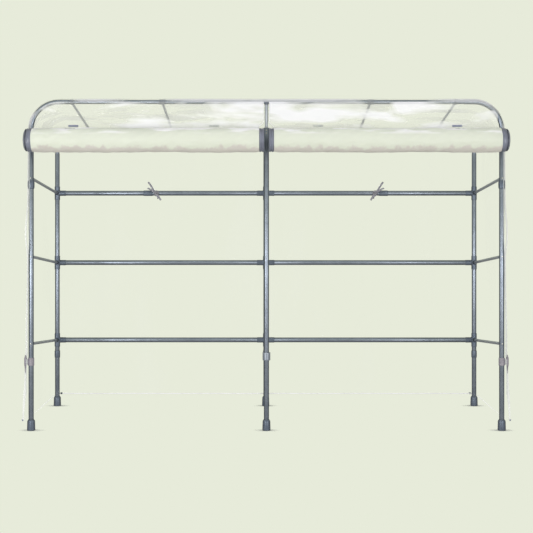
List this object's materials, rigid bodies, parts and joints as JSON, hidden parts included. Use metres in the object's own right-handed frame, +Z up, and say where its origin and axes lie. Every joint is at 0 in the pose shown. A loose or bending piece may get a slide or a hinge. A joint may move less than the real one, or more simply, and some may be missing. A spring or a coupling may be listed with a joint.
{
  "type": "lean-to plant shelter",
  "caption": "Lean-to tube-frame plant shelter under a clear film cover, open in front, with film curtains rolled up under the roof and turned by pull cords.",
  "frame": {"origin": "on the floor, under the middle of the whole shelter's box", "axes": "+X along the shelter to the right as seen from its open front, +Y from the open front to the back, +Z up"},
  "size_m": [2.5776, 0.9583, 1.752],
  "materials": {
    "powder_coated_steel": "satin",
    "moulded_plastic": "matte",
    "clear_film": "gloss",
    "pull_cord": "matte"
  },
  "bodies": {
    "frame": {"front_left_post": "powder_coated_steel", "front_left_foot_cap": "moulded_plastic", "front_centre_post": "powder_coated_steel", "front_centre_foot_cap": "moulded_plastic", "front_right_post": "powder_coated_steel", "front_right_foot_cap": "moulded_plastic", "back_left_post": "powder_coated_steel", "back_left_foot_cap": "moulded_plastic", "back_centre_post": "powder_coated_steel", "back_centre_foot_cap": "moulded_plastic", "back_right_post": "powder_coated_steel", "back_right_foot_cap": "moulded_plastic", "front_top_tube": "powder_coated_steel", "front_left_bend": "powder_coated_steel", "front_right_bend": "powder_coated_steel", "back_hoop": "powder_coated_steel", "back_rail_bottom_left": "powder_coated_steel", "left_bar_bottom": "powder_coated_steel", "back_rail_bottom_right": "powder_coated_steel", "right_bar_bottom": "powder_coated_steel", "fitting_left_bottom": "moulded_plastic", "fitting_centre_bottom": "moulded_plastic", "fitting_right_bottom": "moulded_plastic", "back_rail_middle_left": "powder_coated_steel", "left_bar_middle": "powder_coated_steel", "back_rail_middle_right": "powder_coated_steel", "right_bar_middle": "powder_coated_steel", "fitting_left_middle": "moulded_plastic", "fitting_centre_middle": "moulded_plastic", "fitting_right_middle": "moulded_plastic", "back_rail_top_left": "powder_coated_steel", "left_bar_top": "powder_coated_steel", "back_rail_top_right": "powder_coated_steel", "right_bar_top": "powder_coated_steel", "fitting_left_top": "moulded_plastic", "fitting_centre_top": "moulded_plastic", "fitting_right_top": "moulded_plastic", "rafter_left_outer": "powder_coated_steel", "rafter_left": "powder_coated_steel", "rafter_centre": "powder_coated_steel", "rafter_right": "powder_coated_steel", "rafter_right_outer": "powder_coated_steel", "roof_film": "clear_film", "back_film": "clear_film", "left_side_film": "clear_film", "left_curtain": "clear_film", "left_cleat_clamp": "moulded_plastic", "left_pull_cord": "pull_cord", "right_side_film": "clear_film", "right_curtain": "clear_film", "right_cleat_clamp": "moulded_plastic", "right_pull_cord": "pull_cord"},
    "left_carrier": {"left_axle_cap": "moulded_plastic"},
    "left_roll": {"left_film_roll": "clear_film", "left_roller": "moulded_plastic", "left_cord_spool": "moulded_plastic"},
    "right_carrier": {"right_axle_cap": "moulded_plastic"},
    "right_roll": {"right_film_roll": "clear_film", "right_roller": "moulded_plastic", "right_cord_spool": "moulded_plastic"}
  },
  "joints": [
    {"name": "left_roll_drop", "type": "slide", "parent": "frame", "child": "left_carrier", "axis": [0, 0, -1], "range_m": [0, 1.39], "deforming": ["left_curtain", "left_pull_cord"]},
    {"name": "left_roll_spin", "type": "hinge", "parent": "left_carrier", "child": "left_roll", "pos_m": [0, -0.41065, 1.527], "axis": [1, 0, 0], "range_deg": [0, 1245]},
    {"name": "right_roll_drop", "type": "slide", "parent": "frame", "child": "right_carrier", "axis": [0, 0, -1], "range_m": [0, 1.39], "deforming": ["right_curtain", "right_pull_cord"]},
    {"name": "right_roll_spin", "type": "hinge", "parent": "right_carrier", "child": "right_roll", "pos_m": [0, -0.41065, 1.527], "axis": [1, 0, 0], "range_deg": [0, 1245]}
  ],
  "couplings": [
    {"joint": "left_roll_spin", "follows": "left_roll_drop", "rad_per_m": 15.6},
    {"joint": "right_roll_spin", "follows": "right_roll_drop", "rad_per_m": 15.6}
  ]
}
